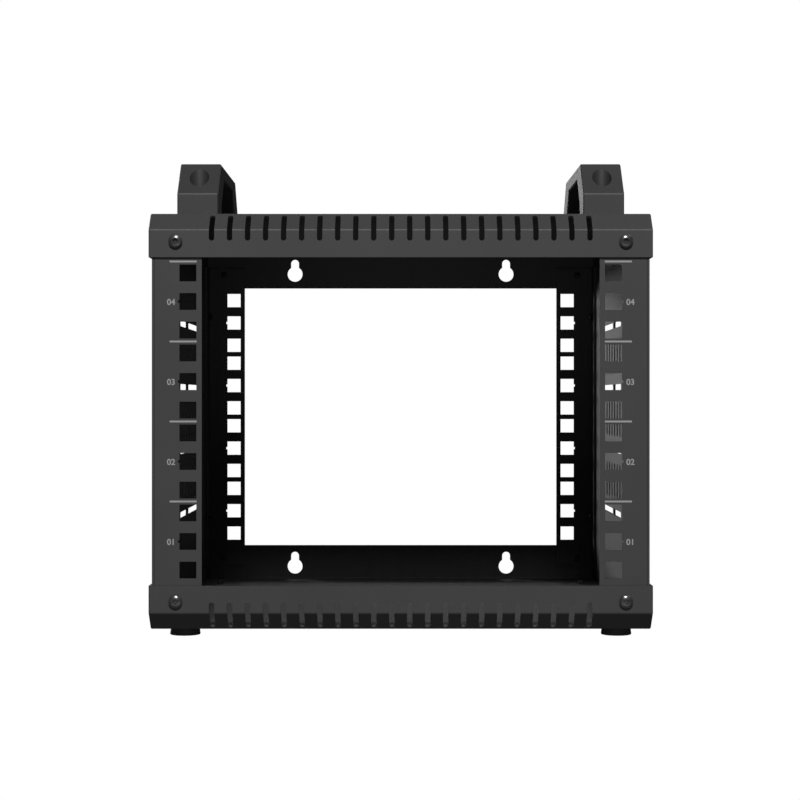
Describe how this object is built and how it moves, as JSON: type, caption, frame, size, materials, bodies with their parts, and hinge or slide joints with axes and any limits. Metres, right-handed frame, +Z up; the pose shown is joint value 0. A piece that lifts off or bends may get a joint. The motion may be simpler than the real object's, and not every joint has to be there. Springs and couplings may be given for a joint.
{
  "type": "open-frame rack",
  "caption": "Desktop open-frame rack for ten-inch equipment: folded trays, vented side panels, rails with square holes, keyholed back, carrying handles and feet.",
  "frame": {"origin": "on the floor under the middle of the rack, at the feet's undersides", "axes": "+Z up, -Y out of the front, +X to the right of someone facing the front"},
  "size_m": [0.28, 0.3078, 0.2784],
  "materials": {
    "rack_metal": "fine-textured black powder coat",
    "panel_metal": "fine-textured black powder coat",
    "handle_plastic": "moulded black plastic",
    "foot_rubber": "matt black rubber",
    "screw_steel": "satin black oxide steel"
  },
  "bodies": {
    "root": {"top_tray": "rack_metal", "bottom_tray": "rack_metal", "left_side_panel": "panel_metal", "left_handle": "handle_plastic", "right_side_panel": "panel_metal", "right_handle": "handle_plastic", "front_left_rail": "rack_metal", "front_left_foot": "foot_rubber", "front_left_foot_screw": "screw_steel", "front_left_handle_screw": "screw_steel", "front_left_lower_screw": "screw_steel", "front_left_upper_screw": "screw_steel", "front_left_panel_screws": "screw_steel", "front_right_rail": "rack_metal", "front_right_foot": "foot_rubber", "front_right_foot_screw": "screw_steel", "front_right_handle_screw": "screw_steel", "front_right_lower_screw": "screw_steel", "front_right_upper_screw": "screw_steel", "front_right_panel_screws": "screw_steel", "rear_left_rail": "rack_metal", "rear_left_foot": "foot_rubber", "rear_left_foot_screw": "screw_steel", "rear_left_handle_screw": "screw_steel", "rear_left_lower_screw": "screw_steel", "rear_left_upper_screw": "screw_steel", "rear_left_panel_screws": "screw_steel", "rear_right_rail": "rack_metal", "rear_right_foot": "foot_rubber", "rear_right_foot_screw": "screw_steel", "rear_right_handle_screw": "screw_steel", "rear_right_lower_screw": "screw_steel", "rear_right_upper_screw": "screw_steel", "rear_right_panel_screws": "screw_steel"}
  },
  "joints": []
}
